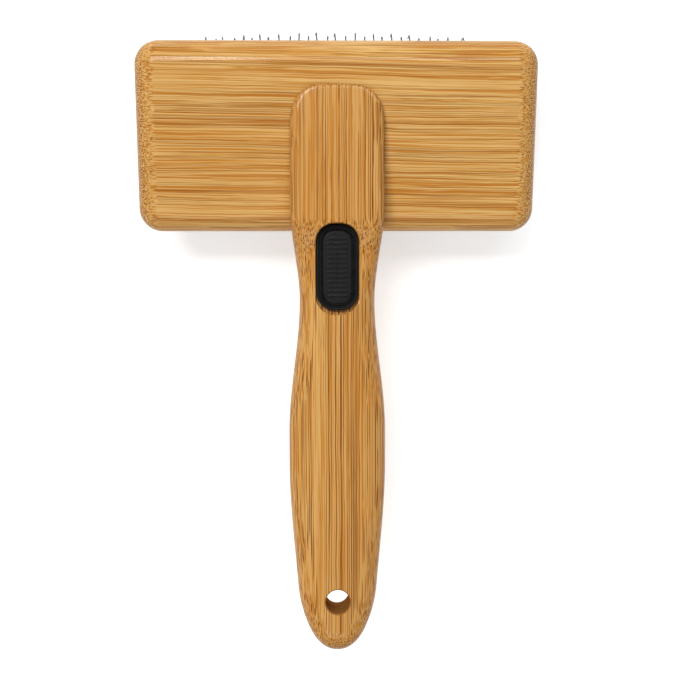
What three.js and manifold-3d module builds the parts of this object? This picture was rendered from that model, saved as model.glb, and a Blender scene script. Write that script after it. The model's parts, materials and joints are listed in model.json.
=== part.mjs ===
// Slicker brush: a bamboo head with a cushioned pad of bent steel pins, and a bamboo handle that
// is screwed to the back of the head. Millimetres, +Z up. The pins point down, the back of the
// head faces up, and the handle runs towards -Y and rises away from the head.

import * as THREE from 'three';
import { mergeVertices } from 'three/addons/utils/BufferGeometryUtils.js';
import Module from 'manifold-3d';

const wasm = await Module();
wasm.setup();

// ---------- driving dimensions ----------

const FIT_GAP = 0.3; // clearance between pieces that touch
const OVERSHOOT = 2; // how far a cutter runs past the face it opens

// The head's back face is the plane z = 0 and its centre is the origin.
const HEAD = { length: 127, width: 60.3, thickness: 12.4, cornerRadius: 7.5 };
HEAD.backRound = 7.3;
HEAD.backSteps = 6;
HEAD.frontRound = 1.0;
HEAD.frontSteps = 2;
HEAD.cornerPoints = 6;

// The pad sits in a recess in the front of the head, inside a narrow lip.
const LIP = 2.4;
const RECESS_DEPTH = 3;
const FOAM_EDGE = 1.2; // foam thickness at the rim of the pad
const SHEET = 1.7; // thickness of the rubber and cloth sheet that holds the pins
const CROWN = { rise: 3, fade: 4, stations: 10, strips: 6 };

// Pins stand in double rows, each pin half a pitch away from its neighbours in the other line.
// One line holds an odd number of pins with one in the middle, the other line one pin fewer.
const PINS = { doubleRows: 16, linePitch: 1.7, pitch: 6, perSide: 9, radius: 0.26, sides: 3 };
PINS.shank = 12.5; // length from the sheet to the bend
PINS.tip = 5.5; // length from the bend to the point
PINS.lean = THREE.MathUtils.degToRad(18.5); // the shank leans away from the handle
PINS.bend = THREE.MathUtils.degToRad(38); // the tip turns back towards the handle
PINS.cornerReach = 46.5; // pins further out than this are left out of the outermost lines
const BACKING = { width: 2.1, thickness: 0.55, groove: 0.25, pastPins: 1 };

// Along the handle, distance zero is the lower edge of the head and it grows towards the tail.
// Heights are measured square to the handle's own middle plane.
const HANDLE = { rise: THREE.MathUtils.degToRad(11.4), height: 3.4, tongue: 47.2, tail: 133.3 };
HANDLE.tongueHalf = 14.9;
HANDLE.tongueEnd = { length: 17, power: 3.2 };
HANDLE.neck = { at: 20, half: 11.95, from: -10 };
HANDLE.belly = { from: 62, to: 72, half: 15.4 };
HANDLE.tailHalf = 11.6;
HANDLE.tailEnd = { length: 21, depth: 8 };
HANDLE.tongueTop = 7.9;
HANDLE.gripTop = 4.9;
HANDLE.gripBottom = -10.3;
HANDLE.step = { from: -6, to: 7 }; // where the top falls from the tongue to the grip
HANDLE.fairing = 44; // distance in which the underside reaches its full depth
HANDLE.tongueRound = 4.2;
HANDLE.gripRound = 7;
HANDLE.roundFrom = -6;
HANDLE.roundTo = 26;
HANDLE.footRound = 0.5;
HANDLE.roundShare = 0.95; // share of the section that its corners may take up
HANDLE.topShare = 0.75; // share of that which the upper corners may take
HANDLE.stations = 38;
HANDLE.arcPoints = 5;

const HANGING_HOLE = { radius: 3.85, fromTail: 17.1, segments: 24 };

const THUMB = { length: 27, width: 13.2, cornerRadius: 5.6, centre: 9.7, tailGap: 1.3 };
THUMB.pocketFloor = 2.2;
THUMB.height = 2.3;
THUMB.channels = [{ from: 0.8, to: 1.4 }, { from: 1.7, to: 2 }]; // insets from the outline
THUMB.channelDepth = 0.6;

const SCREW = { length: 14, radius: 1.9, headRadius: 3.6, headDepth: 2.2, point: 3, segments: 12 };
SCREW.places = [-4, -19]; // along Y, on the middle line of the head

// ---------- small geometry helpers ----------

const lerp = THREE.MathUtils.lerp;
const smooth = THREE.MathUtils.smoothstep;

// Joins rings of points, all with the same count, into a closed solid with flat convex ends.
function loft(rings) {
  const count = rings[0].length;
  const positions = rings.flat().flatMap((point) => [point.x, point.y, point.z]);
  const faces = [];
  for (let ring = 0; ring < rings.length - 1; ring += 1) {
    for (let i = 0; i < count; i += 1) {
      const a = ring * count + i;
      const b = ring * count + (i + 1) % count;
      faces.push(a, b, a + count, b, b + count, a + count);
    }
  }
  const last = (rings.length - 1) * count;
  for (let i = 1; i < count - 1; i += 1) {
    faces.push(0, i + 1, i, last, last + i, last + i + 1);
  }
  const geometry = new THREE.BufferGeometry();
  geometry.setAttribute('position', new THREE.Float32BufferAttribute(positions, 3));
  geometry.setIndex(faces);
  return facingOut(geometry);
}

// Turns every triangle over when the solid's signed volume is negative.
function facingOut(geometry) {
  const corners = [new THREE.Vector3(), new THREE.Vector3(), new THREE.Vector3()];
  const index = geometry.getIndex();
  let volume = 0;
  for (let i = 0; i < index.count; i += 3) {
    corners.forEach((corner, k) => {
      corner.fromBufferAttribute(geometry.getAttribute('position'), index.getX(i + k));
    });
    volume += corners[0].dot(corners[1].cross(corners[2]));
  }
  if (volume < 0) {
    index.array.reverse();
  }
  return geometry;
}

function toManifold(geometry) {
  const bare = geometry.clone();
  bare.deleteAttribute('normal');
  bare.deleteAttribute('uv');
  const merged = mergeVertices(bare);
  const vertProperties = new Float32Array(merged.getAttribute('position').array);
  const triVerts = new Uint32Array(merged.getIndex().array);
  return new wasm.Manifold(new wasm.Mesh({ numProp: 3, vertProperties, triVerts }));
}

function fromManifold(solid) {
  const mesh = solid.getMesh();
  const geometry = new THREE.BufferGeometry();
  geometry.setAttribute('position', new THREE.BufferAttribute(mesh.vertProperties, 3));
  geometry.setIndex(new THREE.BufferAttribute(mesh.triVerts, 1));
  return geometry;
}

function cut(geometry, cutters) {
  const body = cutters.reduce((left, cutter) => left.subtract(toManifold(cutter)), toManifold(geometry));
  return fromManifold(body);
}

function named(name, geometry, material) {
  const flat = geometry.getIndex() ? geometry.toNonIndexed() : geometry;
  flat.computeVertexNormals();
  const mesh = new THREE.Mesh(flat, material);
  mesh.name = name;
  return mesh;
}

// A rectangle with round corners, about the origin.
function roundedRectangle(length, width, radius) {
  const x = length / 2 - radius;
  const y = width / 2 - radius;
  const quarter = Math.PI / 2;
  const shape = new THREE.Shape();
  shape.absarc(x, y, radius, 0, quarter);
  shape.absarc(-x, y, radius, quarter, 2 * quarter);
  shape.absarc(-x, -y, radius, 2 * quarter, 3 * quarter);
  shape.absarc(x, -y, radius, 3 * quarter, 4 * quarter);
  return shape;
}

// A straight prism of a shape, from one height to another.
function prism(shape, bottom, top, curveSegments = 5) {
  const geometry = new THREE.ExtrudeGeometry(shape, {
    depth: top - bottom,
    bevelEnabled: false,
    curveSegments,
  });
  return geometry.translate(0, 0, bottom);
}

// ---------- materials ----------

const bamboo = new THREE.MeshStandardMaterial({ color: 0xc8914b, roughness: 0.45 });
const handleBamboo = new THREE.MeshStandardMaterial({ color: 0xc48b45, roughness: 0.45 });
const blackRubber = new THREE.MeshStandardMaterial({ color: 0x1c1c1c, roughness: 0.7 });
const foamRubber = new THREE.MeshStandardMaterial({ color: 0x55585a, roughness: 0.95 });
const sheetRubber = new THREE.MeshStandardMaterial({ color: 0x2b2d2e, roughness: 0.85 });
const steel = new THREE.MeshStandardMaterial({ color: 0xb4b8ba, roughness: 0.3, metalness: 1 });
const screwSteel = new THREE.MeshStandardMaterial({ color: 0x9b9a92, roughness: 0.4, metalness: 1 });

// ---------- head ----------

const recessLength = HEAD.length - 2 * LIP;
const recessWidth = HEAD.width - 2 * LIP;
const recessRadius = HEAD.cornerRadius - LIP;
const recessFloor = RECESS_DEPTH - HEAD.thickness;

// One level outline of the head, drawn in by the given inset.
function headRing(inset, z) {
  const outline = roundedRectangle(
    HEAD.length - 2 * inset,
    HEAD.width - 2 * inset,
    HEAD.cornerRadius - inset,
  );
  const points = outline.extractPoints(HEAD.cornerPoints).shape.slice(0, -1);
  return points.map((point) => new THREE.Vector3(point.x, point.y, z));
}

// Insets and heights that round the edge, from the flat face to the side.
function edgeSteps(radius, steps) {
  return Array.from({ length: steps + 1 }, (_, i) => {
    const angle = (Math.PI / 2) * (i / steps);
    return { inset: radius * (1 - Math.sin(angle)), drop: radius * (1 - Math.cos(angle)) };
  });
}

function headBlock() {
  const back = edgeSteps(HEAD.backRound, HEAD.backSteps).map(({ inset, drop }) => headRing(inset, -drop));
  const front = edgeSteps(HEAD.frontRound, HEAD.frontSteps).map(({ inset, drop }) => {
    return headRing(inset, drop - HEAD.thickness);
  });
  const block = loft([...back, ...front.reverse()]);
  const recess = prism(
    roundedRectangle(recessLength, recessWidth, recessRadius),
    -HEAD.thickness - OVERSHOOT,
    recessFloor,
  );
  return named('head_block', cut(block, [recess, ...screwHoles()]), bamboo);
}

// ---------- handle screws ----------

// The outline of a countersunk screw, grown by the given clearance, with its head at the bottom.
function screwSolid(clearance, headRun) {
  const { radius, headRadius, headDepth, length, point, segments } = SCREW;
  const profile = [
    new THREE.Vector2(0, -headRun),
    new THREE.Vector2(headRadius + clearance, -headRun),
    new THREE.Vector2(headRadius + clearance, clearance),
    new THREE.Vector2(radius + clearance, headDepth + clearance),
    new THREE.Vector2(radius + clearance, length - point + clearance),
    new THREE.Vector2(0, length + clearance),
  ];
  return new THREE.LatheGeometry(profile, segments).rotateX(Math.PI / 2);
}

const screwSeat = recessFloor + FIT_GAP;

function screwHoles() {
  return SCREW.places.map((y) => screwSolid(FIT_GAP, OVERSHOOT).translate(0, y, screwSeat));
}

function handleScrews() {
  return SCREW.places.map((y, i) => {
    const screw = named(`handle_screw_${i + 1}`, screwSolid(0, 0), screwSteel);
    screw.position.set(0, y, screwSeat);
    return screw;
  });
}

// ---------- handle ----------

const handleFrame = new THREE.Group();
handleFrame.position.set(0, -HEAD.width / 2, HANDLE.height);
handleFrame.rotation.x = -HANDLE.rise;
handleFrame.updateMatrix();

function halfWidth(at) {
  const { tongueHalf, tongueEnd, neck, belly, tailHalf, tailEnd, tongue, tail } = HANDLE;
  const fromTongue = Math.min((at + tongue) / tongueEnd.length, 1);
  const fromTail = Math.min((tail - at) / tailEnd.length, 1);
  const tongueCurve = (1 - (1 - fromTongue) ** tongueEnd.power) ** (1 / tongueEnd.power);
  const tailCurve = Math.sqrt(1 - (1 - fromTail) ** 2);
  const toNeck = lerp(tongueHalf, neck.half, smooth(at, neck.from, neck.at));
  const toBelly = lerp(toNeck, belly.half, smooth(at, neck.at, belly.from));
  return lerp(toBelly, tailHalf, smooth(at, belly.to, tail)) * tongueCurve * tailCurve;
}

// The top of the tongue is flat, and past it the top steps down to the grip's own level.
function topHeight(at) {
  const { tongueTop, gripTop, step } = HANDLE;
  return lerp(tongueTop, gripTop, smooth(at, step.from, step.to));
}

// Over the head the underside is level, and past the head it falls to the handle's full depth.
function undersideHeight(at) {
  const level = (FIT_GAP - HANDLE.height - at * Math.sin(HANDLE.rise)) / Math.cos(HANDLE.rise);
  return lerp(level, HANDLE.gripBottom, smooth(at, 0, HANDLE.fairing));
}

// One section of the handle, square to its middle plane, with round corners.
function handleRing(at) {
  const tailReach = Math.min((HANDLE.tail - at) / HANDLE.tailEnd.depth, 1);
  const tailDepth = Math.sqrt(1 - (1 - tailReach) ** 2);
  const middle = (topHeight(at) + undersideHeight(at)) / 2;
  const top = lerp(middle, topHeight(at), tailDepth);
  const bottom = lerp(middle, undersideHeight(at), tailDepth);
  const half = halfWidth(at);
  const change = smooth(at, HANDLE.roundFrom, HANDLE.roundTo);
  const room = Math.min(half, top - bottom) * HANDLE.roundShare;
  const topRound = Math.min(lerp(HANDLE.tongueRound, HANDLE.gripRound, change), room * HANDLE.topShare);
  const lowerRound = Math.min(lerp(HANDLE.footRound, HANDLE.gripRound, change), room - topRound, room / 2);
  const corners = [
    [half - topRound, top - topRound, topRound],
    [topRound - half, top - topRound, topRound],
    [lowerRound - half, bottom + lowerRound, lowerRound],
    [half - lowerRound, bottom + lowerRound, lowerRound],
  ];
  return corners.flatMap(([x, z, radius], corner) => Array.from({ length: HANDLE.arcPoints }, (_, i) => {
    const angle = (Math.PI / 2) * (corner + i / (HANDLE.arcPoints - 1));
    return new THREE.Vector3(x + radius * Math.cos(angle), -at, z + radius * Math.sin(angle));
  }));
}

function handle() {
  const { tongue, tail, stations, gripTop, gripBottom } = HANDLE;
  const middle = (tail - tongue) / 2;
  const reach = (tail + tongue) / 2;
  const rings = Array.from({ length: stations - 1 }, (_, i) => {
    return handleRing(middle - reach * Math.cos(Math.PI * (i + 1) / stations));
  });
  const pocketShape = roundedRectangle(
    THUMB.width + 2 * FIT_GAP,
    THUMB.length + FIT_GAP + THUMB.tailGap,
    THUMB.cornerRadius + FIT_GAP,
  );
  const pocket = prism(pocketShape, THUMB.pocketFloor, HANDLE.tongueTop + OVERSHOOT);
  pocket.translate(0, -THUMB.centre - (THUMB.tailGap - FIT_GAP) / 2, 0);
  const hole = new THREE.CylinderGeometry(
    HANGING_HOLE.radius,
    HANGING_HOLE.radius,
    gripTop - gripBottom + 2 * OVERSHOOT,
    HANGING_HOLE.segments,
  );
  hole.rotateX(Math.PI / 2).translate(0, HANGING_HOLE.fromTail - tail, (gripTop + gripBottom) / 2);
  const pilots = screwHoles().map((pilot) => pilot.applyMatrix4(handleFrame.matrix.clone().invert()));
  return named('handle', cut(loft(rings), [pocket, hole, ...pilots]), handleBamboo);
}

// A rubber plate with two channels, which leave a rim, a thin bead and a raised middle.
function thumbRest() {
  const { length, width, cornerRadius, height, channels, channelDepth, pocketFloor, centre } = THUMB;
  const outline = (inset) => roundedRectangle(width - 2 * inset, length - 2 * inset, cornerRadius - inset);
  const bottom = pocketFloor + FIT_GAP;
  const cutters = channels.map(({ from, to }) => {
    const shape = outline(from);
    shape.holes.push(outline(to));
    return prism(shape, bottom + height - channelDepth, bottom + height + OVERSHOOT);
  });
  const rest = cut(prism(outline(0), bottom, bottom + height), cutters);
  const mesh = named('thumb_rest', rest, blackRubber);
  mesh.position.y = -centre;
  return mesh;
}

// ---------- pad ----------

const padLength = recessLength - 2 * FIT_GAP;
const padWidth = recessWidth - 2 * FIT_GAP;
const padRadius = recessRadius - FIT_GAP;
const foamBack = HEAD.thickness - RECESS_DEPTH + FIT_GAP; // depths below the head's back face
const sheetBack = foamBack + FOAM_EDGE + FIT_GAP;
const sheetFront = sheetBack + SHEET;

// How far the pad swells out of the head at a place on it.
function crown(x, y) {
  const along = Math.cos((Math.PI / 2) * x / (padLength / 2 + CROWN.fade)) ** 2;
  const across = 1 - (2 * y / (padWidth + CROWN.fade)) ** 2;
  return CROWN.rise * along * across;
}

function stations(from, to, steps) {
  return Array.from({ length: steps + 1 }, (_, i) => lerp(from, to, i / steps));
}

// A sheet of the pad between two depths. A flat back leaves the crown off its upper side.
function padLayer(name, back, front, flatBack, grooves, material) {
  const ends = padLength / 2 + OVERSHOOT / 2;
  const sides = padWidth / 2 + OVERSHOOT / 2;
  const rings = stations(-ends, ends, CROWN.stations).map((x) => [
    ...stations(-sides, sides, CROWN.strips).map((y) => new THREE.Vector3(x, y, -front - crown(x, y))),
    ...stations(sides, -sides, CROWN.strips).map((y) => {
      return new THREE.Vector3(x, y, -back - (flatBack ? 0 : crown(x, y)));
    }),
  ]);
  const outline = roundedRectangle(padLength, padWidth, padRadius);
  const blank = toManifold(prism(outline, -front - CROWN.rise - OVERSHOOT, 0, 4));
  const layer = fromManifold(blank.intersect(toManifold(loft(rings))));
  return named(name, cut(layer, grooves), material);
}

// A flat strip that follows the crown along one double row.
function backingStrip(y, width, shallow, deep, ends) {
  return loft(stations(-ends, ends, CROWN.stations).map((x) => {
    const swell = crown(x, y);
    return [
      new THREE.Vector3(x, y - width / 2, -shallow - swell),
      new THREE.Vector3(x, y + width / 2, -shallow - swell),
      new THREE.Vector3(x, y + width / 2, -deep - swell),
      new THREE.Vector3(x, y - width / 2, -deep - swell),
    ];
  }));
}

const lineReach = PINS.pitch * PINS.perSide;
const outerLine = PINS.linePitch * (2 * PINS.doubleRows - 1) / 2;

function rowCentre(row) {
  return outerLine - PINS.linePitch * (2 * row + 0.5);
}

function rowEnds(row) {
  const outermost = row === 0 || row === PINS.doubleRows - 1;
  return outermost ? PINS.cornerReach : lineReach;
}

function rowGroove(row) {
  return backingStrip(
    rowCentre(row),
    BACKING.width + 2 * BACKING.groove,
    sheetFront - BACKING.thickness - BACKING.groove,
    sheetFront + OVERSHOOT,
    rowEnds(row) + BACKING.pastPins + 2 * BACKING.groove,
  );
}

// ---------- pins ----------

// A bent pin. It stands square to the crowned pad, leans back, then bends towards the handle. The
// pad's slope under it is the change of the crown over one millimetre.
function pin(x, y) {
  const spreadX = Math.atan(crown(x - 0.5, y) - crown(x + 0.5, y));
  const spreadY = Math.atan(crown(x, y - 0.5) - crown(x, y + 0.5));
  const heading = (lean) => new THREE.Vector3(Math.tan(spreadX), Math.tan(spreadY + lean), -1).normalize();
  const shank = heading(PINS.lean);
  const tip = heading(PINS.lean - PINS.bend);
  const foot = new THREE.Vector3(x, y, -sheetFront - crown(x, y));
  const knee = foot.clone().addScaledVector(shank, PINS.shank);
  const root = foot.clone().addScaledVector(shank, -BACKING.thickness / 2);
  const point = knee.clone().addScaledVector(tip, PINS.tip);
  return loft([root, knee, point].map((centre) => Array.from({ length: PINS.sides }, (_, i) => {
    const angle = 2 * Math.PI * i / PINS.sides;
    const offset = new THREE.Vector3(Math.cos(angle), Math.sin(angle), 0).multiplyScalar(PINS.radius);
    return centre.clone().add(offset);
  })));
}

// Two staggered lines of pins on the strip that joins them.
function pinRow(row) {
  const centre = rowCentre(row);
  const ends = rowEnds(row);
  const back = sheetFront - BACKING.thickness;
  const strip = backingStrip(centre, BACKING.width, back, sheetFront, ends + BACKING.pastPins);
  const solids = [toManifold(strip)];
  for (let halfStep = -2 * PINS.perSide; halfStep <= 2 * PINS.perSide; halfStep += 1) {
    const x = halfStep * PINS.pitch / 2;
    const line = Math.abs(halfStep) % 2;
    if (Math.abs(x) <= ends) {
      solids.push(toManifold(pin(x, centre + PINS.linePitch * (0.5 - line))));
    }
  }
  const name = `pin_row_${String(row + 1).padStart(2, '0')}`;
  return named(name, fromManifold(wasm.Manifold.union(solids)), steel);
}

// ---------- assembly ----------

const rows = Array.from({ length: PINS.doubleRows }, (_, row) => row);
handleFrame.add(handle(), thumbRest());

const assembly = new THREE.Group();
assembly.add(headBlock(), handleFrame, ...handleScrews());
assembly.add(padLayer('foam_cushion', foamBack, foamBack + FOAM_EDGE, true, [], foamRubber));
assembly.add(padLayer('pin_sheet', sheetBack, sheetFront, false, rows.map(rowGroove), sheetRubber));
assembly.add(...rows.map(pinRow));

// The origin goes to the middle of the underside of the whole brush.
const box = new THREE.Box3().setFromObject(assembly, true);
assembly.position.set(-(box.min.x + box.max.x) / 2, -(box.min.y + box.max.y) / 2, -box.min.z);

const brush = new THREE.Group();
brush.add(assembly);

export default brush;
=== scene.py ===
# A bamboo slicker brush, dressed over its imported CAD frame. The brush rests on the points of its
# pins with the back of the head up. Shapes are worked out in millimetres and placed from the frame.

import json
import math

import bmesh
import bpy
import numpy as np
from mathutils import Matrix, Vector


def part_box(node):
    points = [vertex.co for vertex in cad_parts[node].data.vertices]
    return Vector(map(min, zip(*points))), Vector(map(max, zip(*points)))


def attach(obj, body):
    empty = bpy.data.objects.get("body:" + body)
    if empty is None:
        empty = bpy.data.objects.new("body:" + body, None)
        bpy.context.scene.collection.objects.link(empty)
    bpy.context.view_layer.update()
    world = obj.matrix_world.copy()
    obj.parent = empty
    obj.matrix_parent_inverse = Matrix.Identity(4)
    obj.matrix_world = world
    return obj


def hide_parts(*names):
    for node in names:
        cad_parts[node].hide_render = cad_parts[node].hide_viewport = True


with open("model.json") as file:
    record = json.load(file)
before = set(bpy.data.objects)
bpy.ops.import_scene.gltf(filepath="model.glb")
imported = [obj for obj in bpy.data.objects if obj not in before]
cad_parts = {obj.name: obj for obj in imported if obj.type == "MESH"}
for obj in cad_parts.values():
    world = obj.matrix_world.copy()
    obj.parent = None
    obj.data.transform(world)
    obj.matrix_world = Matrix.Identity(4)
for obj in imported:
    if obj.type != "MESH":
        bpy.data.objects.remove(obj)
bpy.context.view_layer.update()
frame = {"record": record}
scene = bpy.context.scene

MM = 0.001
QUARTER = math.pi / 2
RANDOM = np.random.default_rng(11)

# ---------- driving dimensions, in millimetres and degrees ----------

head_low, head_high = (np.array(corner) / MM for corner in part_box("head_block"))
HEAD_LENGTH, HEAD_WIDTH, HEAD_THICKNESS = head_high - head_low
HEAD_CENTRE = np.array([0, (head_low[1] + head_high[1]) / 2, head_high[2]])
CORNER_RADIUS = 7.5
BACK_ROUND = 7.3
FRONT_ROUND = 1.0
LIP = 2.4  # width of the rim round the recess for the pad
RECESS_DEPTH = 3.0
RECESS_EDGE = 0.35
BACK_ROUND_STEPS, FRONT_ROUND_STEPS, RECESS_EDGE_STEPS = 25, 7, 5

tongue_mount = frame["record"]["mounts"][0]
RISE = math.atan2(tongue_mount["axis"][1], tongue_mount["axis"][2])
HANDLE_HEIGHT = 3.4  # the handle's middle plane above the head's back, at the head's lower edge
TONGUE, TAIL = -47.2, 133.3  # distances along the handle from the head's lower edge
CONTACT = 0.02  # the tongue lies on the head with next to no gap
TONGUE_TOP, GRIP_TOP, GRIP_BOTTOM = 7.9, 4.9, -10.3  # square to the handle's middle plane
TONGUE_TIP = 1.3  # the rounding of the tongue's end
TONGUE_HALF, NECK_HALF, BELLY_HALF, TAIL_HALF = 14.9, 11.95, 15.4, 11.6  # half widths
NECK_FROM, NECK_AT, BELLY_FROM, BELLY_TO = -10, 20, 62, 72
TONGUE_CURVE, TONGUE_CURVE_POWER = 17, 3.2  # length and fullness of the tongue's round end
TAIL_CURVE, TAIL_DEPTH = 21, 8  # lengths of the tail's round end, in plan and from the side
STEP_FROM, STEP_TO = -6, 7  # where the top falls from the tongue to the grip
FAIRING = 44  # distance in which the underside reaches its full depth
TONGUE_ROUND, GRIP_ROUND, FOOT_ROUND = 4.2, 7.0, 0.5  # corner radii of the section
ROUND_FROM, ROUND_TO = -6, 26
ROUND_SHARE, TOP_ROUND_SHARE = 0.95, 0.75  # of the section, and of that for the upper corners
TONGUE_CROWN, GRIP_CROWN, CROWN_TO = 0.2, 0.8, 50  # how far the top falls towards its sides
HANDLE_STATIONS = 300
CUTTER_END = 16.0  # height at which the cutters end, clear of the handle
POCKET_RIM, HOLE_RIM = 0.45, 0.5  # radii of the rounded rims
HOLE_RADIUS = 3.85
HOLE_AT = TAIL - 17.1

THUMB_LENGTH, THUMB_WIDTH, THUMB_CORNER = 27.0, 13.2, 5.6
THUMB_CENTRE = 9.7
THUMB_HEIGHT = 2.3
CHANNEL_DEPTH = 0.6
RIB_PITCH, RIB_HEIGHT, RIB_HALF_LENGTH, RIBS_REACH = 1.5, 0.14, 3.2, 9.6
POCKET_FLOOR = 2.2
POCKET_GAP, POCKET_TAIL_GAP = 0.25, 1.3
HANDLE_FRAME = Matrix.Translation(Vector((0, head_low[1], head_high[2] + HANDLE_HEIGHT)) * MM)
HANDLE_FRAME @= Matrix.Rotation(-RISE, 4, "X")

SCREW_LENGTH, SCREW_POINT, SCREW_HEAD = 14.0, 3.5, 2.3
SCREW_CORE, SCREW_TIP = 1.35, 0.15  # radii under the thread
THREAD_HEIGHT, THREAD_PITCH, THREAD_HALF_WIDTH, THREAD_FROM = 0.5, 1.2, 0.22, 3.2
SLOT_LENGTH, SLOT_WIDTH = 4.2, 0.9

PAD_GAP = 0.3
PAD_MIDDLE = 0.3  # how near to the pad's middle line its innermost ring lies
CROWN_RISE, CROWN_FADE = 3.0, 4.0  # how far the pad swells, and how far past its edge that ends
SHEET_THICKNESS = 1.7
FOAM_EDGE = 1.2
DIMPLE_DEPTH, DIMPLE_REACH = 0.22, 0.5

DOUBLE_ROWS = 16
LINE_PITCH = 1.7  # between the two lines of a double row
PIN_PITCH = 6.0
PINS_PER_SIDE = 9
PIN_RADIUS = 0.25
SHANK, TIP = 12.5, 5.5
PIN_FOOT = SHEET_THICKNESS - 0.3  # how deep each pin sits in the sheet
ROUND_END = 0.2  # what a pin's round end adds to its length
BEND_REACH = 1.0  # how far from the knee the bend starts and ends
LEAN, BEND = math.radians(18.5), math.radians(38)
SECOND_LINE_LEAN = math.radians(4.5)  # the line nearer the handle leans back a little more
SPLAY, FORWARD_SPLAY = 0.035, 0.02  # how unevenly the pins lean, in radians
SHANK_SCATTER = 0.12
CORNER_REACH = 46.5  # the outermost rows stop short of the head's round corners

# ---------- small helpers ----------


def lerp(a, b, share):
    return a + (b - a) * share


def smooth(x, low, high):
    share = np.clip((np.asarray(x, float) - low) / (high - low), 0, 1)
    return share * share * (3 - 2 * share)


def rounded_outline(length, width, radius, arc=16, along=12, across=12):
    """Points round a rectangle with round corners. The same counts give matching points."""
    x, y = length / 2 - radius, width / 2 - radius
    sides = [along, across, along, across]
    points = []
    for corner, (cx, cy) in enumerate([(x, y), (-x, y), (-x, -y), (x, -y)]):
        angles = QUARTER * (corner + np.linspace(0, 1, arc + 1))
        points.append(np.stack([cx + radius * np.cos(angles), cy + radius * np.sin(angles)], 1))
    outline = []
    for corner in range(4):
        start, end = points[corner][-1], points[(corner + 1) % 4][0]
        shares = np.linspace(0, 1, sides[corner] + 2)[1:-1, None]
        outline += [points[corner], lerp(start, end, shares)]
    return np.concatenate(outline)


def ring(outline, height):
    """A flat outline lifted to a height, one number or one for each point."""
    return np.column_stack([outline, np.broadcast_to(height, len(outline))])


def skin(rings):
    """Points and faces of the closed body that a stack of matching rings makes."""
    rings = np.asarray(rings)
    count, around = rings.shape[:2]
    index = np.arange(count * around).reshape(count, around)
    low, high = index[:-1], index[1:]
    quads = np.stack([low, np.roll(low, -1, 1), np.roll(high, -1, 1), high], -1)
    faces = quads.reshape(-1, 4).tolist()
    return rings.reshape(-1, 3), faces + [index[0][::-1].tolist(), index[-1].tolist()]


def joined(bodies):
    """Several bodies as one list of points and faces."""
    points, faces, count = [], [], 0
    for body_points, body_faces in bodies:
        points.append(body_points)
        faces += [[corner + count for corner in face] for face in body_faces]
        count += len(body_points)
    return np.concatenate(points), faces


def add_mesh(name, body, material=None):
    """A new object from points in millimetres and faces, with its faces turned outwards."""
    points, faces = body
    mesh = bpy.data.meshes.new(name)
    mesh.from_pydata((points * MM).tolist(), [], faces)
    if material:
        mesh.materials.append(material)
    shell = bmesh.new()
    shell.from_mesh(mesh)
    bmesh.ops.recalc_face_normals(shell, faces=shell.faces)
    shell.to_mesh(mesh)
    shell.free()
    made = bpy.data.objects.new(name, mesh)
    scene.collection.objects.link(made)
    return made


def place(made, slot, *nodes):
    """A finished piece rides on the brush and stands for its CAD nodes."""
    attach(made, "root")
    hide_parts(*nodes)
    return made


def smooth_shaded(made, crease=35):
    """Smooth shading, with edges sharper than the crease angle left sharp."""
    made.data.shade_smooth()
    made.data.set_sharp_from_angle(angle=math.radians(crease))
    return made


def cut(made, cutters):
    """Cuts closed shapes out of a piece. The faces that one leaves take its material, if it has one."""
    for cutter in cutters:
        boolean = made.modifiers.new("cut", "BOOLEAN")
        boolean.operation = "DIFFERENCE"
        boolean.solver = "EXACT"
        boolean.material_mode = "TRANSFER"
        boolean.object = cutter
    # The evaluated mesh is fetched with all the cutters still in the scene.
    bpy.context.view_layer.update()
    evaluated = made.evaluated_get(bpy.context.evaluated_depsgraph_get())
    mesh = bpy.data.meshes.new_from_object(evaluated)
    made.modifiers.clear()
    made.data = mesh
    for cutter in cutters:
        bpy.data.objects.remove(cutter)
    return made


# ---------- materials ----------


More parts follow.
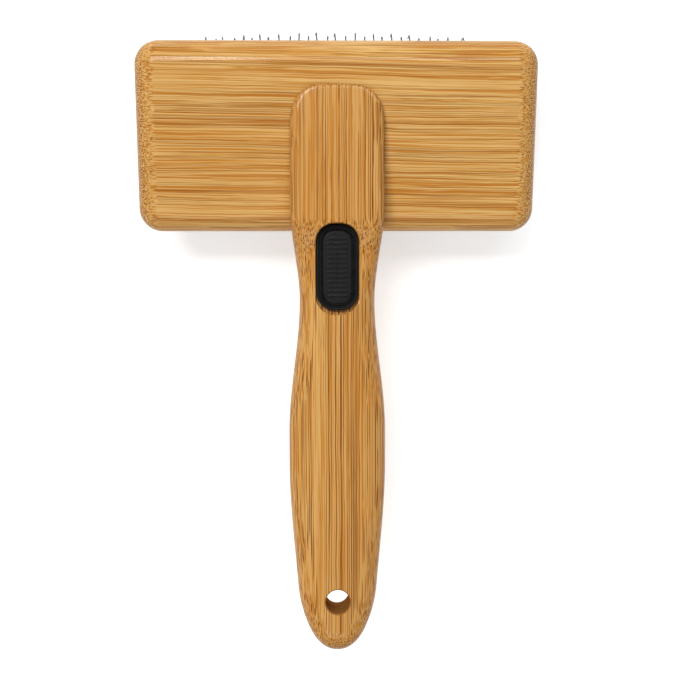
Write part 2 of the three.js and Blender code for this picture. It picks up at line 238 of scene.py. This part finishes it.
class Shader:
    """A material's node tree, with short ways to add its nodes."""

    def __init__(self, name, **constants):
        self.material = bpy.data.materials.new(name)
        self.material.use_nodes = True
        self.tree = self.material.node_tree
        self.surface = self.tree.nodes["Principled BSDF"]
        for socket, value in constants.items():
            self.surface.inputs[socket.replace("_", " ")].default_value = value

    def node(self, kind, inputs=None, **settings):
        made = self.tree.nodes.new("ShaderNode" + kind)
        for setting, value in settings.items():
            setattr(made, setting, value)
        for socket, value in (inputs or {}).items():
            self.feed(made.inputs[socket], value)
        return made

    def feed(self, socket, value):
        if isinstance(value, bpy.types.NodeSocket):
            self.tree.links.new(value, socket)
        else:
            socket.default_value = value

    def math(self, operation, *values):
        return self.node("Math", dict(enumerate(values)), operation=operation).outputs[0]

    def vector(self, operation, *values):
        made = self.node("VectorMath", dict(enumerate(values)), operation=operation)
        return made.outputs["Value" if operation in ("LENGTH", "DOT_PRODUCT") else "Vector"]

    def millimetres(self, axes=Matrix()):
        """Places in millimetres, along the axes of a frame that stands in the brush."""
        place_on_piece = self.node("TexCoord").outputs["Object"]
        inward = axes.inverted()
        inputs = {
            "Vector": place_on_piece,
            "Location": inward.to_translation() / MM,
            "Rotation": inward.to_euler(),
            "Scale": (1 / MM,) * 3,
        }
        return self.node("Mapping", inputs).outputs[0]

    def noise(self, vector, scale, detail=2.0, output="Fac"):
        """Noise with its own number of waves in a millimetre along each axis."""
        stretched = self.vector("MULTIPLY", vector, scale)
        inputs = {"Vector": stretched, "Scale": 1.0, "Detail": detail}
        return self.node("TexNoise", inputs).outputs[output]

    def sway(self, vector, scale, reach):
        """A slow wandering to either side, by up to half of the reach along each axis."""
        swing = self.vector("SUBTRACT", self.noise(vector, scale, 1.0, "Color"), (0.5,) * 3)
        return self.vector("MULTIPLY", swing, reach)

    def remap(self, value, low, high, to_low=0.0, to_high=1.0):
        """A soft step from one value to another between two limits."""
        inputs = {0: value, 1: low, 2: high, 3: to_low, 4: to_high}
        return self.node("MapRange", inputs, interpolation_type="SMOOTHSTEP").outputs[0]

    def ramp(self, factor, stops):
        made = self.node("ValToRGB", {"Fac": factor})
        elements = made.color_ramp.elements
        while len(elements) < len(stops):
            elements.new(0.5)
        for element, (position, colour) in zip(elements, stops):
            element.position = position
            element.color = (*colour, 1)
        return made.outputs["Color"]

    def mix(self, factor, a, b, blend="MIX"):
        made = self.node("Mix", data_type="RGBA", blend_type=blend)
        self.feed(made.inputs[0], factor)
        self.feed(made.inputs[6], a)
        self.feed(made.inputs[7], b)
        return made.outputs[2]

    def finish(self, colour=None, roughness=None, height=None, depth=0.05):
        if colour is not None:
            self.feed(self.surface.inputs["Base Color"], colour)
        if roughness is not None:
            self.feed(self.surface.inputs["Roughness"], roughness)
        if height is not None:
            bump = self.node("Bump", {"Height": height, "Strength": 1.0, "Distance": depth * MM})
            self.feed(self.surface.inputs["Normal"], bump.outputs[0])
        return self.material


BAMBOO_LIGHT = (0.67, 0.42, 0.15)
BAMBOO_MID = (0.56, 0.29, 0.07)
BAMBOO_ORANGE = (0.45, 0.17, 0.024)
FIBRE_DARK = (0.16, 0.04, 0.004)
SCORCHED = (0.27, 0.11, 0.028)
BUNDLE_PITCH = 0.55
# Waves in a millimetre along the grain, beside it and through it.
DRIFT_WAVES, RIPPLE_WAVES = (0.018, 0.05, 0.05), (0.1, 0.3, 0.3)
BAND_WAVES, STREAK_WAVES, FINE_WAVES = (0.004, 0.75, 0.75), (0.012, 2.4, 2.4), (0.03, 4.2, 4.2)
CLOUD_WAVES, BREAK_WAVES = (0.02, 0.03, 0.03), (0.016, 0.9, 0.9)
LACQUER_OVER_WOOD = 17  # how much more the lacquer shines than the wood under it
GRAIN_RELIEF = 0.03
HEAD_GRAIN_TURN = math.radians(-1.0)  # the grain isn't quite square to the head


def bamboo(name, axes, grain_axis, shift, wander, warmth, fibres, lacquer=0.34, scorching=0.0):
    """Bamboo cut through: fibre bundles run along the grain as thin dark rods in lighter wood,
    so they show as lines on a face along the grain and as dots where it crosses them. Warmth
    adds orange, and fibres says how dark the bundles are. A drilled wall is bare, and scorched."""
    wood_gloss = lacquer / LACQUER_OVER_WOOD
    shader = Shader(name, Coat_Weight=lacquer, Coat_Roughness=0.11, Specular_IOR_Level=wood_gloss)
    own = shader.vector("ADD", shader.millimetres(axes), shift)
    split = shader.node("SeparateXYZ", {0: own})
    along, side, depth = (split.outputs[axis] for axis in grain_axis)
    grain = shader.node("CombineXYZ", {0: along, 1: side, 2: depth}).outputs[0]

    # The grain isn't quite straight.
    drift = shader.sway(grain, DRIFT_WAVES, (0, wander, wander / 3))
    ripple = shader.sway(grain, RIPPLE_WAVES, (0, 0.45, 0.2))
    wavy = shader.vector("ADD", shader.vector("ADD", grain, drift), ripple)

    bands = shader.noise(wavy, BAND_WAVES, 2.0)
    streaks = shader.noise(wavy, STREAK_WAVES, 2.0)
    fine = shader.noise(wavy, FINE_WAVES, 1.0)
    cloud = shader.noise(grain, CLOUD_WAVES, 2.0)

    # The bundles are cells of a pattern across the grain, each with a thickness of its own. They
    # are a little thicker where a face cuts them across.
    wavy_split = shader.node("SeparateXYZ", {0: wavy})
    across = shader.node("CombineXYZ", {0: wavy_split.outputs[1], 1: wavy_split.outputs[2]}).outputs[0]
    cells = shader.node(
        "TexVoronoi",
        {"Vector": across, "Scale": 1 / BUNDLE_PITCH, "Randomness": 0.8},
        voronoi_dimensions="2D",
    )
    chance = shader.node("SeparateColor", {0: cells.outputs["Color"]})
    grain_direction = axes.to_3x3().col[grain_axis[0]]
    facing = shader.vector("DOT_PRODUCT", shader.node("TexCoord").outputs["Normal"], grain_direction)
    end_grain = shader.remap(shader.math("ABSOLUTE", facing), 0.3, 0.75)
    outer = shader.remap(chance.outputs[0], 0.0, 1.0, 0.24, 0.42)
    outer = shader.math("ADD", outer, shader.math("MULTIPLY", end_grain, 0.06))
    inner = shader.math("MULTIPLY", outer, 0.65)
    bundle = shader.remap(cells.outputs["Distance"], outer, inner)

    # On a face along the grain they come and go, and on one across it every bundle shows.
    length = shader.remap(shader.noise(wavy, BREAK_WAVES, 1.0), 0.36, 0.56, 0.4, 1.0)
    strength = shader.remap(chance.outputs[1], 0.0, 1.0, 0.7 * fibres, fibres)
    presence = shader.math("MAXIMUM", shader.math("MULTIPLY", length, strength), end_grain)
    bundle = shader.math("MULTIPLY", bundle, presence)

    # The wood between them has streaks of three tones.
    tone = shader.math("ADD", shader.math("MULTIPLY", bands, 0.14), shader.math("MULTIPLY", streaks, 0.5))
    tone = shader.math("ADD", tone, shader.math("MULTIPLY", fine, 0.36))
    wood = shader.ramp(tone, [(0.425, BAMBOO_ORANGE), (0.485, BAMBOO_MID), (0.54, BAMBOO_LIGHT)])
    wood = shader.mix(shader.remap(cloud, 0.35, 0.65, warmth, warmth + 0.2), wood, (*BAMBOO_ORANGE, 1))
    colour = shader.mix(bundle, wood, (*FIBRE_DARK, 1))
    colour = shader.mix(scorching, colour, (*SCORCHED, 1))

    gloss = shader.math("ADD", shader.math("MULTIPLY", streaks, 0.14), shader.math("MULTIPLY", cloud, 0.12))
    roughness = shader.math("ADD", gloss, 0.4)
    height = shader.math("ADD", shader.math("MULTIPLY", bundle, -0.8), shader.math("MULTIPLY", fine, 0.35))
    height = shader.math("ADD", height, shader.math("MULTIPLY", streaks, 0.5))
    return shader.finish(colour, roughness, height, GRAIN_RELIEF)


def grained(name, dark, light, scale, roughness, depth, **constants):
    """A plain material with a fine uneven grain, a little soiling and uneven gloss."""
    shader = Shader(name, **constants)
    own = shader.millimetres()
    coarse = shader.noise(own, (scale / 9,) * 3, 3.0)
    fine = shader.noise(own, (scale,) * 3, 3.0)
    blend = shader.math("ADD", shader.math("MULTIPLY", coarse, 0.6), shader.math("MULTIPLY", fine, 0.4))
    colour = shader.ramp(blend, [(0.38, dark), (0.62, light)])
    gloss = shader.remap(coarse, 0.3, 0.7, roughness[0], roughness[1])
    return shader.finish(colour, gloss, fine, depth)


head_grain = Matrix.Rotation(HEAD_GRAIN_TURN, 4, "Z")
head_bamboo = bamboo("head_bamboo", head_grain, (0, 1, 2), (31.0, 4.0, 9.0), 1.6, 0.05, 0.66)
handle_grain = (HANDLE_FRAME, (1, 0, 2), (12.0, 57.0, 3.0), 0.7)
handle_bamboo = bamboo("handle_bamboo", *handle_grain, 0.3, 1.0)
drilled_bamboo = bamboo("drilled_bamboo", *handle_grain, 0.3, 1.0, lacquer=0.0, scorching=0.7)
rubber = grained(
    "black_rubber",
    (0.004, 0.004, 0.0045),
    (0.009, 0.009, 0.01),
    5.0,
    (0.4, 0.58),
    0.03,
    Specular_IOR_Level=0.12,
)
foam = grained("foam", (0.05, 0.05, 0.05), (0.13, 0.13, 0.125), 3.0, (0.85, 0.98), 0.25)
sheet_rubber = grained(
    "sheet_rubber", (0.02, 0.021, 0.023), (0.05, 0.051, 0.052), 4.0, (0.55, 0.75), 0.05
)
wire = grained(
    "pin_steel", (0.035, 0.038, 0.035), (0.09, 0.093, 0.085), 6.0, (0.22, 0.42), 0.01, Metallic=1.0
)
screw_steel = grained(
    "screw_steel", (0.42, 0.41, 0.37), (0.64, 0.63, 0.58), 4.0, (0.3, 0.5), 0.02, Metallic=1.0
)
floor_paint = grained(
    "floor_paint",
    (0.88, 0.88, 0.88),
    (0.92, 0.92, 0.92),
    0.2,
    (0.6, 0.7),
    0.02,
    Emission_Color=(1, 1, 1, 1),
    Emission_Strength=0.45,
)

# ---------- head ----------


def head_rings():
    """The head's outline from the rim of the back face, round the edge and into the recess."""
    steps = []
    for angle in np.linspace(0, QUARTER, BACK_ROUND_STEPS):
        steps.append((BACK_ROUND * (1 - math.sin(angle)), -BACK_ROUND * (1 - math.cos(angle))))
    for angle in np.linspace(0, QUARTER, FRONT_ROUND_STEPS):
        inset = FRONT_ROUND * (1 - math.cos(angle))
        steps.append((inset, FRONT_ROUND * (1 - math.sin(angle)) - HEAD_THICKNESS))
    for angle in np.linspace(0, QUARTER, RECESS_EDGE_STEPS):
        inset = LIP - RECESS_EDGE * (1 - math.sin(angle))
        steps.append((inset, RECESS_EDGE * (1 - math.cos(angle)) - HEAD_THICKNESS))
    steps.append((LIP, RECESS_DEPTH - HEAD_THICKNESS))
    rings = []
    for inset, height in steps:
        length, width = HEAD_LENGTH - 2 * inset, HEAD_WIDTH - 2 * inset
        outline = rounded_outline(length, width, CORNER_RADIUS - inset, arc=14, along=40, across=20)
        rings.append(ring(outline, height) + HEAD_CENTRE)
    return rings


head = smooth_shaded(add_mesh("head", skin(head_rings()), head_bamboo), 50)
place(head, "head_bamboo", "head_block")

# ---------- handle ----------


def half_width(at):
    """Half the handle's width at distances along it."""
    from_tongue = np.clip((at - TONGUE) / TONGUE_CURVE, 0, 1)
    from_tail = np.clip((TAIL - at) / TAIL_CURVE, 0, 1)
    tongue_curve = (1 - (1 - from_tongue) ** TONGUE_CURVE_POWER) ** (1 / TONGUE_CURVE_POWER)
    tail_curve = np.sqrt(1 - (1 - from_tail) ** 2)
    neck = lerp(TONGUE_HALF, NECK_HALF, smooth(at, NECK_FROM, NECK_AT))
    belly = lerp(neck, BELLY_HALF, smooth(at, NECK_AT, BELLY_FROM))
    return lerp(belly, TAIL_HALF, smooth(at, BELLY_TO, TAIL)) * tongue_curve * tail_curve


def end_depth(at):
    """How much of its depth the handle has near the tail."""
    return np.sqrt(1 - (1 - np.clip((TAIL - at) / TAIL_DEPTH, 0, 1)) ** 2)


def top_height(at):
    """The flat top of the tongue, the step down from it and the grip, along the middle line."""
    level = lerp(TONGUE_TOP, GRIP_TOP, smooth(at, STEP_FROM, STEP_TO))
    past_end = np.clip(at - TONGUE, 0, TONGUE_TIP)
    tip = TONGUE_TIP - np.sqrt(TONGUE_TIP**2 - (TONGUE_TIP - past_end) ** 2)
    return level - tip


def underside_height(at):
    """Level on the head, then falling to the full depth of the grip."""
    level = (CONTACT - HANDLE_HEIGHT - at * math.sin(RISE)) / math.cos(RISE)
    return lerp(level, GRIP_BOTTOM, smooth(at, 0, FAIRING))


def faces_of(at):
    """The heights of the upper and lower face, which close up towards the tail."""
    top, bottom = top_height(at), underside_height(at)
    middle = (top + bottom) / 2
    return lerp(middle, top, end_depth(at)), lerp(middle, bottom, end_depth(at))


def corner_rounds(at):
    """The radii of the upper and lower corners of the handle's section."""
    change = smooth(at, ROUND_FROM, ROUND_TO)
    top, bottom = faces_of(at)
    room = np.minimum(half_width(at), top - bottom) * ROUND_SHARE
    upper = np.minimum(lerp(TONGUE_ROUND, GRIP_ROUND, change), room * TOP_ROUND_SHARE)
    lower = np.minimum(np.minimum(lerp(FOOT_ROUND, GRIP_ROUND, change), room - upper), room / 2)
    return upper, lower


def crowned(x, z, at):
    """Lets the upper face fall a little from the middle line towards the sides."""
    top, bottom = faces_of(at)
    share = np.clip((z - (top + bottom) / 2) / np.maximum((top - bottom) / 2, 1e-6), 0, 1)
    fall = lerp(TONGUE_CROWN, GRIP_CROWN, smooth(at, 0, CROWN_TO)) * end_depth(at)
    return z - fall * (x / np.maximum(half_width(at), 1e-6)) ** 2 * share


def handle_ring(at):
    """One section of the handle, square to its middle plane."""
    half, (top, bottom) = half_width(at), faces_of(at)
    upper, lower = corner_rounds(at)
    corners = [(half - upper, top - upper, upper), (upper - half, top - upper, upper)]
    corners += [(lower - half, bottom + lower, lower), (half - lower, bottom + lower, lower)]
    arcs = []
    for corner, (x, z, radius) in enumerate(corners):
        angles = QUARTER * (corner + np.linspace(0, 1, 13))
        arcs.append(np.stack([x + radius * np.cos(angles), z + radius * np.sin(angles)], 1))
    section = []
    for corner, flat_steps in enumerate([16, 3, 16, 3]):
        shares = np.linspace(0, 1, flat_steps + 1)[1:-1, None]
        section += [arcs[corner], lerp(arcs[corner][-1], arcs[(corner + 1) % 4][0], shares)]
    x, z = np.concatenate(section).T
    return np.column_stack([x, np.full(len(x), -at), crowned(x, z, at)])


def surface_height(x, at, upper_face):
    """The height of the handle's upper or lower face at places on it."""
    upper, lower = corner_rounds(at)
    radius = upper if upper_face else lower
    past_flat = np.clip(np.abs(x) - (half_width(at) - radius), 0, radius * 0.999)
    drop = radius - np.sqrt(radius**2 - past_flat**2)
    top, bottom = faces_of(at)
    return crowned(x, top - drop, at) if upper_face else bottom + drop


def flared(outline_at, radius, deep, upper_face):
    """Rings of a cutter that rounds the edge it leaves on the handle's face to a radius. outline_at
    gives the outline grown by a distance, and deep is the height of its inner end."""
    rings = [ring(outline_at(0), deep)]
    side = 1 if upper_face else -1
    for angle in np.radians([0, 20, 40, 58, 74]):
        outline = outline_at(radius * (1 - math.cos(angle)))
        surface = surface_height(outline[:, 0], -outline[:, 1], upper_face)
        rings.append(ring(outline, surface - side * radius * (1 - math.sin(angle))))
    outline = outline_at(radius * 1.3)
    surface = surface_height(outline[:, 0], -outline[:, 1], upper_face)
    rings.append(ring(outline, surface + side * radius))
    rings.append(ring(outline, side * CUTTER_END))
    return rings


def pocket_outline(grow):
    """The outline of the pocket for the thumb rest, with a wider gap at its tail end."""
    length = THUMB_LENGTH + POCKET_GAP + POCKET_TAIL_GAP + 2 * grow
    width = THUMB_WIDTH + 2 * (POCKET_GAP + grow)
    outline = rounded_outline(width, length, THUMB_CORNER + POCKET_GAP + grow, arc=12, along=2, across=24)
    return outline - [0, THUMB_CENTRE + (POCKET_TAIL_GAP - POCKET_GAP) / 2]


def hole_outline(grow):
    """The outline of the hanging hole."""
    angles = np.linspace(0, 2 * math.pi, 64, endpoint=False)
    radius = HOLE_RADIUS + grow
    return np.stack([radius * np.cos(angles), radius * np.sin(angles) - HOLE_AT], 1)


def handle_piece():
    """The lofted handle, with the pocket and the hanging hole cut out of it."""
    turns = np.cos(np.linspace(0, math.pi, HANDLE_STATIONS + 1)[1:-1])
    stations = (TAIL + TONGUE) / 2 - (TAIL - TONGUE) / 2 * turns
    made = add_mesh("handle_grip", skin([handle_ring(at) for at in stations]), handle_bamboo)
    pocket = add_mesh("pocket", skin(flared(pocket_outline, POCKET_RIM, POCKET_FLOOR, True)))
    middle = (GRIP_TOP + GRIP_BOTTOM) / 2
    lower = flared(hole_outline, HOLE_RIM, middle, False)[:0:-1]
    upper = flared(hole_outline, HOLE_RIM, middle, True)[1:]
    hole = add_mesh("hole", skin(lower + upper), drilled_bamboo)
    cut(made, [pocket, hole])
    made.data.transform(HANDLE_FRAME)
    return smooth_shaded(made, 40)


place(handle_piece(), "handle_bamboo", "handle")

# ---------- thumb rest ----------


def grip_ribs(x, y):
    """Low bars across the middle of the thumb rest, which give it a grip."""
    beat = np.cos(2 * math.pi * y / RIB_PITCH)
    inside = smooth(RIB_HALF_LENGTH - np.abs(x), 0, 0.5) * smooth(RIBS_REACH - np.abs(y), 0, 0.5)
    return RIB_HEIGHT * smooth(beat, -0.1, 0.7) * inside


def thumb_profile():
    """Insets and heights from the underside of the thumb rest, over its rim, channel, bead and
    second channel, to the raised middle."""
    top = THUMB_HEIGHT
    low = top - CHANNEL_DEPTH
    rim = [(0.12, 0), (0, 0.12), (0, top - 0.35), (0.06, top - 0.15), (0.2, top - 0.03), (0.38, top)]
    rim += [(0.58, top - 0.02), (0.72, top - 0.1), (0.8, top - 0.28)]
    channel = [(0.88, low + 0.06), (1.0, low), (1.25, low), (1.36, low + 0.1)]
    bead = [(1.4, top - 0.25), (1.46, top - 0.1), (1.55, top - 0.06), (1.64, top - 0.14)]
    second = [(1.7, low + 0.25), (1.76, low + 0.15), (1.9, low + 0.15), (1.98, low + 0.3)]
    shoulder = [(2.04, top - 0.12), (2.15, top + 0.02), (2.35, top + 0.07)]
    middle = [(inset, top + 0.08) for inset in np.arange(2.6, THUMB_WIDTH / 2, 0.22)]
    return rim + channel + bead + second + shoulder + middle


def thumb_piece():
    """The thumb rest, seated in the pocket of the handle."""
    rings = []
    for inset, height in thumb_profile():
        corner = max(THUMB_CORNER - inset, 0.05)
        length, width = THUMB_LENGTH - 2 * inset, THUMB_WIDTH - 2 * inset
        outline = rounded_outline(width, length, corner, arc=14, along=2, across=110)
        ribs = grip_ribs(outline[:, 0], outline[:, 1]) if height > THUMB_HEIGHT else 0
        rings.append(ring(outline, height + ribs))
    made = smooth_shaded(add_mesh("thumb_grip", skin(rings), rubber), 60)
    seat = Matrix.Translation(Vector((0, -THUMB_CENTRE, POCKET_FLOOR + CONTACT)) * MM)
    made.data.transform(HANDLE_FRAME @ seat)
    return made


place(thumb_piece(), "black_rubber", "thumb_rest")

# ---------- pad ----------

PAD_LENGTH = HEAD_LENGTH - 2 * LIP - 2 * PAD_GAP
PAD_WIDTH = HEAD_WIDTH - 2 * LIP - 2 * PAD_GAP
PAD_CORNER = CORNER_RADIUS - LIP - PAD_GAP
FOAM_BACK = HEAD_THICKNESS - RECESS_DEPTH + PAD_GAP
SHEET_FRONT = FOAM_BACK + FOAM_EDGE + PAD_GAP + SHEET_THICKNESS


def crown(x, y):
    """How far the pad swells out of the head at places on it."""
    along = np.cos(math.pi / 2 * x / (PAD_LENGTH / 2 + CROWN_FADE)) ** 2
    return CROWN_RISE * along * (1 - (2 * y / (PAD_WIDTH + CROWN_FADE)) ** 2)


def pad_layer(name, back, front, swell_back, relief, edge, density, material):
    """A domed sheet of the pad, with round edges and a relief on its outer face."""
    profile = [(step, back) for step in np.linspace(PAD_WIDTH / 2 - PAD_MIDDLE, edge, density)]
    for angle in np.linspace(0, math.pi, 9)[1:-1]:
        middle, reach = (back + front) / 2, (front - back) / 2
        profile.append((edge * (1 - math.sin(angle)), middle - reach * math.cos(angle)))
    profile += [(step, front) for step in np.linspace(edge, PAD_WIDTH / 2 - PAD_MIDDLE, density)]
    rings = []
    for inset, depth in profile:
        corner = max(PAD_CORNER - inset, 0.1)
        length, width = PAD_LENGTH - 2 * inset, PAD_WIDTH - 2 * inset
        outline = rounded_outline(length, width, corner, 8, density * 4, density * 2)
        x, y = outline.T
        share = (depth - back) / (front - back)
        swell = crown(x, y) * lerp(swell_back, 1, share)
        rings.append(ring(outline, -depth - swell + relief(x, y) * (depth == front)) + HEAD_CENTRE)
    return smooth_shaded(add_mesh(name, skin(rings), material), 60)


def row_pins(row):
    """The foot and lean of each pin of one double row, on two staggered lines."""
    centre = LINE_PITCH * ((2 * DOUBLE_ROWS - 1) / 2 - 2 * row - 0.5)
    outermost = row in (0, DOUBLE_ROWS - 1)
    reach = CORNER_REACH if outermost else PIN_PITCH * PINS_PER_SIDE
    pins = []
    for half_step in range(-2 * PINS_PER_SIDE, 2 * PINS_PER_SIDE + 1):
        x = half_step * PIN_PITCH / 2
        line = abs(half_step) % 2
        if abs(x) <= reach:
            pins.append((x, centre + LINE_PITCH * (0.5 - line), LEAN + SECOND_LINE_LEAN * line))
    return pins


ALL_FEET = [(x, y) for row in range(DOUBLE_ROWS) for x, y, lean in row_pins(row)]


def dimples(x, y):
    """The sheet is drawn in a little round each pin."""
    depth = np.zeros(len(x))
    for foot_x, foot_y in ALL_FEET:
        near = (x - foot_x) ** 2 + (y - foot_y) ** 2
        depth = np.maximum(depth, np.exp(-near / DIMPLE_REACH**2))
    return DIMPLE_DEPTH * depth


def no_relief(x, y):
    return np.zeros(len(x))


foam_piece = pad_layer("foam_pad", FOAM_BACK, FOAM_BACK + FOAM_EDGE, 0, no_relief, 0.5, 14, foam)
place(foam_piece, "foam", "foam_cushion")

sheet_back = FOAM_BACK + FOAM_EDGE + CONTACT
sheet_piece = pad_layer("pin_base", sheet_back, SHEET_FRONT, 1, dimples, 0.6, 60, sheet_rubber)
place(sheet_piece, "sheet_rubber", "pin_sheet")

# ---------- pins ----------


def tube(path, radius, sides=8):
    """A round wire along a path, with round ends."""
    path = np.asarray(path, float)
    headings = np.gradient(path, axis=0)
    headings /= np.linalg.norm(headings, axis=1)[:, None]
    rings = []
    angles = np.linspace(0, 2 * math.pi, sides, endpoint=False)
    for place_on_path, heading in zip(path, headings):
        side = np.cross(heading, [1.0, 0.0, 0.02])
        side /= np.linalg.norm(side)
        other = np.cross(heading, side)
        spokes = np.outer(np.cos(angles), side) + np.outer(np.sin(angles), other)
        rings.append(place_on_path + radius * spokes)
    start = [path[0] + (rings[0] - path[0]) * share - headings[0] * radius * lift
             for share, lift in ((0.35, 0.75), (0.8, 0.4))]
    end = [path[-1] + (rings[-1] - path[-1]) * share + headings[-1] * radius * lift
           for share, lift in ((0.8, 0.4), (0.35, 0.75))]
    return skin(start + rings + end)


def pin_path(x, y, lean):
    """From behind the sheet, up the leaning shank, round the bend and to the point."""
    spread_x = math.atan(crown(x - 0.5, y) - crown(x + 0.5, y)) + RANDOM.normal(0, SPLAY)
    spread_y = math.atan(crown(x, y - 0.5) - crown(x, y + 0.5)) - abs(RANDOM.normal(0, FORWARD_SPLAY))

    def heading(angle):
        direction = np.array([math.tan(spread_x), math.tan(spread_y + angle), -1.0])
        return direction / np.linalg.norm(direction)

    foot = HEAD_CENTRE + [x, y, -SHEET_FRONT - crown(x, y)]
    shank = SHANK - abs(RANDOM.normal(0, SHANK_SCATTER))
    knee = foot + heading(lean) * shank
    path = [foot - heading(lean) * PIN_FOOT]
    path += [foot + heading(lean) * shank * share for share in (0.0, 0.3, 0.6)]
    start, end = knee - heading(lean) * BEND_REACH, knee + heading(lean - BEND) * BEND_REACH
    for share in np.linspace(0, 1, 6):
        path.append(lerp(lerp(start, knee, share), lerp(knee, end, share), share))
    point = knee + heading(lean - BEND) * (TIP - ROUND_END)
    path += [lerp(end, point, 0.5), point]
    return path


def pin_row(row):
    """The pins of one double row, as one piece."""
    wires = [tube(pin_path(*pin), PIN_RADIUS) for pin in row_pins(row)]
    made = add_mesh(f"pins_{row + 1:02d}", joined(wires), wire)
    return smooth_shaded(made, 60)


for row in range(DOUBLE_ROWS):
    place(pin_row(row), "pin_steel", f"pin_row_{row + 1:02d}")

# ---------- screws ----------


def screw_piece(number):
    """A countersunk wood screw with a thread and a cross recess."""
    low, high = (np.array(corner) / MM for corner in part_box(f"handle_screw_{number}"))
    centre = np.array([(low[0] + high[0]) / 2, (low[1] + high[1]) / 2, low[2]])
    head_radius = (high[0] - low[0]) / 2
    angles = np.linspace(0, 2 * math.pi, 48, endpoint=False)
    rings = []
    for height in np.concatenate([[0, 0.25], np.linspace(SCREW_HEAD, SCREW_LENGTH, 110)]):
        taper = float(smooth(height, SCREW_LENGTH - SCREW_POINT, SCREW_LENGTH))
        core = lerp(SCREW_CORE, SCREW_TIP, taper)
        beat = (height / THREAD_PITCH - angles / (2 * math.pi)) % 1
        ridge = np.clip(1 - np.abs(beat - 0.5) / THREAD_HALF_WIDTH, 0, 1)
        thread = THREAD_HEIGHT * ridge * min(1.0, core)
        radius = core + thread * float(height > THREAD_FROM)
        if height < SCREW_HEAD:
            radius = np.full(len(angles), head_radius)
        level = np.full(len(angles), height)
        rings.append(np.column_stack([radius * np.cos(angles), radius * np.sin(angles), level]))
    made = add_mesh(f"screw_{number}", skin(np.array(rings) + centre), screw_steel)
    slots = []
    for length, width in ((SLOT_LENGTH, SLOT_WIDTH), (SLOT_WIDTH, SLOT_LENGTH)):
        blade = [ring(rounded_outline(length * share, width * share, 0.2, 2, 0, 0), height)
                 for share, height in ((1.0, -0.5), (0.6, 1.5))]
        slots.append(add_mesh("slot", skin(np.array(blade) + centre)))
    cut(made, slots)
    return smooth_shaded(made, 40)


for number in (1, 2):
    place(screw_piece(number), "screw_steel", f"handle_screw_{number}")

# ---------- floor, light and camera ----------

FLOOR_REACH = 2 / MM

floor_corners = np.array([[-1, -1, 0], [1, -1, 0], [1, 1, 0], [-1, 1, 0]]) * FLOOR_REACH
floor = add_mesh("floor", (floor_corners, [[0, 1, 2, 3]]), floor_paint)

CAMERA_TILT, CAMERA_TURN, CAMERA_ROLL = math.radians(14.6), math.radians(1.35), math.radians(0.155)
CAMERA_DISTANCE = 400.0
AIM = np.array([0.74, -62.64, 0.0])  # in the camera's own axes, from the centre of the head's back
LENS = 67.6

turned = Matrix.Rotation(CAMERA_TURN, 3, "Y") @ Matrix.Rotation(CAMERA_TILT, 3, "X")
to_world = (Matrix.Rotation(CAMERA_ROLL, 3, "Z") @ turned).transposed()
camera_data = bpy.data.cameras.new("camera")
camera_data.lens = LENS
camera_data.clip_start = 0.01
camera = bpy.data.objects.new("camera", camera_data)
scene.collection.objects.link(camera)
stand = to_world @ Vector(AIM + [0, 0, CAMERA_DISTANCE]) + Vector(HEAD_CENTRE)
camera.matrix_world = Matrix.Translation(stand * MM) @ to_world.to_4x4()
scene.camera = camera


def softbox(name, offset, size, energy):
    """An area light that looks at the neck of the brush, placed from there in metres. Its first
    side runs across the brush."""
    target = Vector((0, head_low[1], head_high[2])) * MM
    data = bpy.data.lights.new(name, "AREA")
    data.shape = "RECTANGLE"
    data.size, data.size_y = size
    data.energy = energy
    made = bpy.data.objects.new(name, data)
    scene.collection.objects.link(made)
    back = Vector(offset).normalized()
    up = back.cross(Vector((1, 0, 0))).normalized()
    facing = Matrix((up.cross(back), up, back)).transposed()
    made.matrix_world = Matrix.Translation(target + Vector(offset)) @ facing.to_4x4()
    return made


softbox("key_light", (-0.36, 0.64, 1.0), (0.6, 0.36), 10.5)
softbox("strip_light", (0.2, 0.64, 1.0), (0.5, 0.32), 2.6)
softbox("fill_light", (-0.15, -0.65, 1.0), (0.9, 0.6), 2.8)

sky = bpy.data.worlds.new("studio")
sky.use_nodes = True
sky.node_tree.nodes["Background"].inputs["Color"].default_value = (1, 1, 1, 1)
sky.node_tree.nodes["Background"].inputs["Strength"].default_value = 0.33
scene.world = sky
scene.view_settings.view_transform = "Standard"
